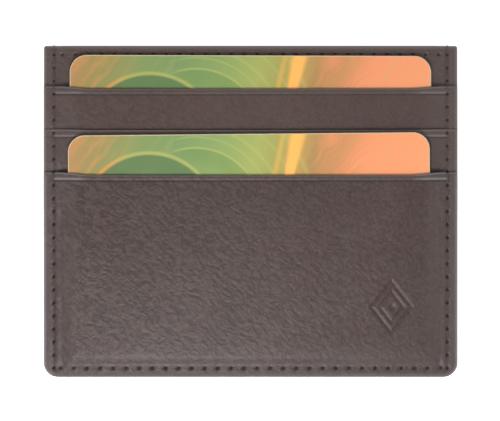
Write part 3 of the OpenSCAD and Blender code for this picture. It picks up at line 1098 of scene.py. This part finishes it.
def build_wallet():
    """All the sheets and threads of the wallet body."""
    settled = settle_sheets()
    relief = leather_relief()
    back_relief = relief[:, ::-1]
    edge, flesh = edge_and_flesh_looks()
    looks = {
        "leather": leather_look(
            "grained_leather", srgb(122, 116, 116), srgb(71, 57, 54), srgb(82, 68, 65), 0.5
        ),
        "strip_leather": leather_look(
            "smooth_leather", srgb(112, 104, 102), srgb(78, 64, 60), srgb(86, 72, 68), 0.25
        ),
        "lining": cloth_look("lining_cloth", (38, 33, 32), (74, 66, 64)),
        "seam_thread": thread_look("seam_thread", (62, 50, 47), (84, 70, 66)),
        "bag_thread": thread_look("bag_thread", (52, 44, 42), (84, 75, 72)),
    }
    for node, name, slot, kind in SHEETS:
        bumps = back_relief if kind == "back" else relief
        face = looks["strip_leather"] if node.endswith("facing") else looks[slot]
        materials = [face] * 3 if kind == "cloth" else [face, flesh, edge]
        piece = make_sheet(node, name, kind, settled, bumps, materials)
        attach(piece, "wallet")
        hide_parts(node)
    return settled, looks


def build_threads(settled, looks):
    """Every seam as twisted threads, on the faces of the softened sheets."""
    fronts = [node for node, _, _, kind in SHEETS if kind == "front"]
    backs = [node for node, _, _, kind in SHEETS if kind == "back"]
    front_top = surface_of(fronts, "high", settled)
    back_low = surface_of(backs, "low", settled)

    def on_front(p):
        return front_top(p) - GROOVE_DEPTH

    def on_back(p):
        return back_low(p) + GROOVE_DEPTH * 0.6

    def halfway(p):
        return (front_top(p) + back_low(p)) / 2

    for side, word in ((-1, "left"), (1, "right")):
        holes = [(side * SEAM_X, y) for y in SIDE_HOLES]
        front = stitch_line(holes, on_front, 1, halfway)
        back = stitch_line(holes, on_back, -1, halfway)
        x, top_y = side * SEAM_X, SIDE_HOLES[-1]
        edge_y = TOP + THREAD_T * 0.45
        lift = THREAD_T * 0.16
        middle = halfway((x, top_y))
        high, low = on_front((x, top_y)) + lift, on_back((x, top_y)) - lift
        wrap = [(x, y, z) for y, z in (
            (top_y, middle), (top_y, high - 0.3), (top_y + 0.25, high), (TOP - 0.5, high),
            (TOP - 0.1, high - 0.05), (edge_y, high - 0.35), (edge_y, low + 0.35),
            (TOP - 0.1, low + 0.05), (TOP - 0.5, low), (top_y + 0.25, low),
            (top_y, low + 0.3), (top_y, middle),
        )]
        tack = []
        for shift in (0.17, -0.15):
            again = [(x + shift, y) for y in SIDE_HOLES[-3:]]
            tack.append(stitch_line(again, lambda p: on_front(p) + 0.07, 1, halfway))
        lines = [front, back, wrap] + tack
        seam_piece(f"{word}_side_stitching", f"{word}_side_thread", "seam_thread", lines, looks)

    holes = [(x, BOTTOM_SEAM_Y) for x in BOTTOM_HOLES]
    lines = [stitch_line(holes, on_front, 1, halfway), stitch_line(holes, on_back, -1, halfway)]
    rows = [("bottom_stitching", "bottom_thread", "seam_thread", lines)]

    hem_holes = [(x, HEM_Y) for x in HEM_HOLES]
    halves = (("front", 1, "high", "low"), ("back", -1, "low", "high"))
    for half, out, near, far in halves:
        face = surface_of([f"{half}_top_facing"], near, settled)
        lining = surface_of([f"{half}_base_lining"], far, settled)
        line = stitch_line(hem_holes, lambda p, f=face, o=out: f(p) - o * GROOVE_DEPTH * 0.8, out,
                           lambda p, f=face, g=lining: (f(p) + g(p)) / 2)
        rows.append((f"{half}_hem_stitching", f"{half}_hem_thread", "seam_thread", [line]))

    for half, out, near, _ in halves:
        for slot in (1, 2):
            node = f"{half}_bag_{slot}_thread"
            low, high = box_mm(node)
            y = (low[1] + high[1]) / 2
            places = [(x, y) for x in holes_between(low[0] + 0.1, high[0] - 0.1)]
            face = surface_of([f"{half}_slot_{slot}_lining"], near, settled)
            line = stitch_line(places, face, out, lambda p, f=face, o=out: f(p) - o * 0.4)
            rows.append((f"{half}_bag_{slot}_stitching", node, "bag_thread", [line]))

    for name, node, slot, lines in rows:
        seam_piece(name, node, slot, lines, looks)


def build_cards():
    width, height = CARDS["upper_card"]["size"][:2]
    materials = [card_look(width, height), card_core_look(), card_back_look(height)]
    for node, name in (("upper_card", "upper_printed_card"), ("lower_card", "lower_printed_card")):
        card = make_card(node, name, materials)
        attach(card, node)
        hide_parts(node)


# ---------------- stage, light and camera

FLOOR_HALF, FLOOR_Z = 1500.0, -0.03
WALLS, CEILING = 0.95, 0.12       # brightness of the room at table height and straight above


def build_stage():
    """A wide pale floor under the wallet, soft lights round it and a pale world."""
    corners = np.linspace(-FLOOR_HALF, FLOOR_HALF, 9)
    x, y = np.meshgrid(corners, corners)
    vertices = np.stack([x, y, np.full_like(x, FLOOR_Z)], axis=-1).reshape(-1, 3)
    floor = mesh_object("floor", vertices, quads(np.arange(81).reshape(9, 9)), [floor_look()])

    world = bpy.data.worlds.new("pale_room")
    world.use_nodes = True
    tree = world.node_tree
    direction = tree.nodes.new("ShaderNodeTexCoord")
    split = tree.nodes.new("ShaderNodeSeparateXYZ")
    fade = tree.nodes.new("ShaderNodeMapRange")
    for key, value in enumerate((0.0, 1.0, WALLS, CEILING), start=1):
        fade.inputs[key].default_value = value
    background = tree.nodes["Background"]
    tree.links.new(direction.outputs["Generated"], split.inputs[0])
    tree.links.new(split.outputs["Z"], fade.inputs[0])
    tree.links.new(fade.outputs[0], background.inputs["Strength"])
    background.inputs["Color"].default_value = (1.0, 1.0, 1.0, 1.0)
    bpy.context.scene.world = world

    lights = [
        ("key_softbox", (-0.026, -0.090, 0.166), 0.055, 0.265),
        ("left_softbox", (-0.21, -0.01, 0.17), 0.12, 0.085),
        ("right_softbox", (0.21, -0.01, 0.17), 0.12, 0.085),
        ("fill_softbox", (0.03, 0.13, 0.21), 0.12, 0.08),
    ]
    for name, place, size, power in lights:
        data = bpy.data.lights.new(name, "AREA")
        data.shape = "SQUARE"
        data.size = size
        data.energy = power
        light = bpy.data.objects.new(name, data)
        light.location = place
        light.rotation_mode = "QUATERNION"
        light.rotation_quaternion = Vector(place).to_track_quat("Z", "Y")
        light.visible_camera = False
        bpy.context.scene.collection.objects.link(light)


def build_camera():
    """The photograph's view: from straight above, far enough away to look flat."""
    distance = 1.5
    seen_width = 0.11845
    data = bpy.data.cameras.new("camera")
    data.sensor_width = 36.0
    face = (CAD_BOX[0].z + CAD_BOX[1].z) / 2
    data.lens = data.sensor_width * distance / seen_width
    data.clip_start, data.clip_end = 0.05, 20.0
    camera = bpy.data.objects.new("camera", data)
    camera.location = (-0.00014, (TOP + BOTTOM) / 2 * MM + 0.00019, face + distance)
    bpy.context.scene.collection.objects.link(camera)
    bpy.context.scene.camera = camera


build_camera()
build_stage()
SETTLED, LOOKS = build_wallet()
build_threads(SETTLED, LOOKS)
build_cards()

scene = bpy.context.scene
scene.view_settings.view_transform = "Standard"
scene.view_settings.look = "None"
